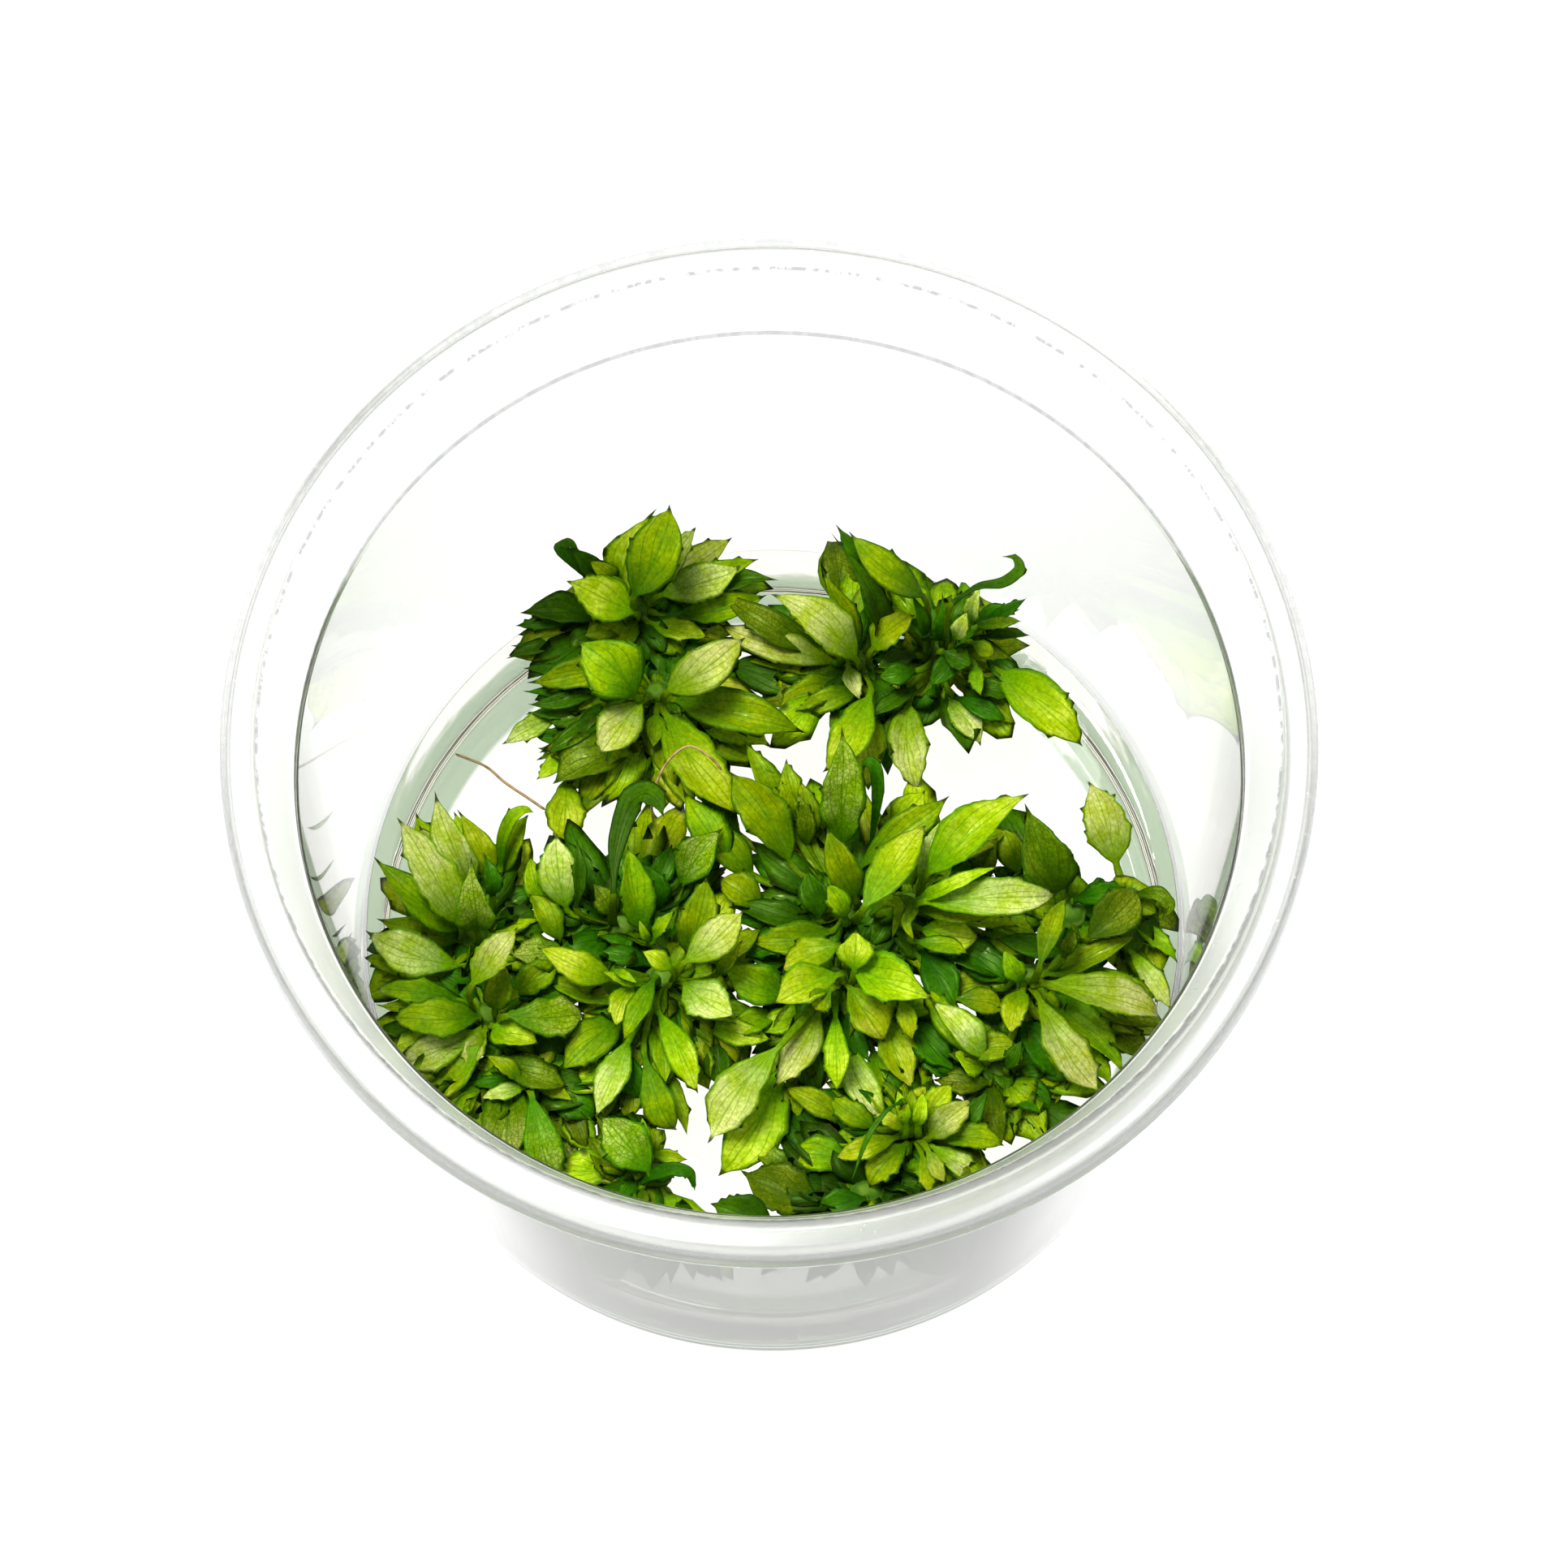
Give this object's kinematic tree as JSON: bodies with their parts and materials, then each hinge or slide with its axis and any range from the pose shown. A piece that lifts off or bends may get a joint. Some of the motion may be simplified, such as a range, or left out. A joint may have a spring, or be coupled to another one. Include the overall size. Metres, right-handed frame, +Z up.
{
  "type": "tissue culture pangolino anubias",
  "caption": "Open clear plastic cup of agar gel with dwarf anubias plantlets standing in it, their narrow pointed leaves spread in rosettes below the rolled rim.",
  "frame": {"origin": "middle of the cup's underside, on the surface that it stands on", "axes": "+Z up along the cup's axis, +Y to the back as the picture shows it, +X to the picture's right"},
  "size_m": [0.1, 0.1, 0.065],
  "materials": {
    "cup": "gloss",
    "gel": "gloss",
    "leaf_dark": "satin",
    "leaf_green": "satin",
    "leaf_lime": "satin",
    "leaf_mottled": "satin",
    "leaf_olive": "satin",
    "leaf_pale": "satin",
    "shoot": "satin"
  },
  "bodies": {
    "root": {"cup": "cup", "gel": "gel", "crown_back_left_upper": "shoot", "crown_back_left_lower": "shoot", "crown_back_middle": "shoot", "crown_back_right": "shoot", "crown_left": "shoot", "crown_left_front": "shoot", "crown_left_low": "shoot", "crown_middle_left": "shoot", "crown_middle": "shoot", "crown_centre": "shoot", "crown_centre_right": "shoot", "crown_centre_front": "shoot", "crown_front": "shoot", "crown_front_low": "shoot", "crown_right": "shoot", "crown_right_back": "shoot", "crown_right_edge": "shoot", "crown_right_front": "shoot", "crown_front_left": "shoot", "leaf_back_left_upper_1": "leaf_green", "leaf_back_left_upper_2": "leaf_lime", "leaf_back_left_lower_1": "leaf_green", "leaf_back_left_lower_2": "leaf_pale", "leaf_back_left_lower_3": "leaf_pale", "leaf_back_left_lower_4": "leaf_lime", "leaf_back_middle_1": "leaf_pale", "leaf_back_middle_2": "leaf_lime", "leaf_back_right_1": "leaf_dark", "leaf_back_right_2": "leaf_green", "leaf_left_1": "leaf_green", "leaf_left_2": "leaf_pale", "leaf_left_3": "leaf_mottled", "leaf_left_front_1": "leaf_green", "leaf_left_front_2": "leaf_pale", "leaf_left_front_3": "leaf_mottled", "leaf_left_low_1": "leaf_pale", "leaf_middle_left_1": "leaf_dark", "leaf_middle_left_2": "leaf_green", "leaf_middle_1": "leaf_pale", "leaf_middle_2": "leaf_pale", "leaf_middle_3": "leaf_lime", "leaf_centre_1": "leaf_mottled", "leaf_centre_2": "leaf_green", "leaf_centre_3": "leaf_lime", "leaf_centre_right_1": "leaf_lime", "leaf_centre_right_2": "leaf_pale", "leaf_centre_front_1": "leaf_lime", "leaf_centre_front_2": "leaf_lime", "leaf_centre_front_3": "leaf_pale", "leaf_front_low_1": "leaf_olive", "leaf_right_1": "leaf_pale", "leaf_right_2": "leaf_pale", "leaf_right_3": "leaf_green", "leaf_right_back_1": "leaf_mottled", "leaf_right_back_2": "leaf_mottled", "leaf_right_edge_1": "leaf_pale", "leaf_front_left_1": "leaf_pale"}
  },
  "joints": []
}
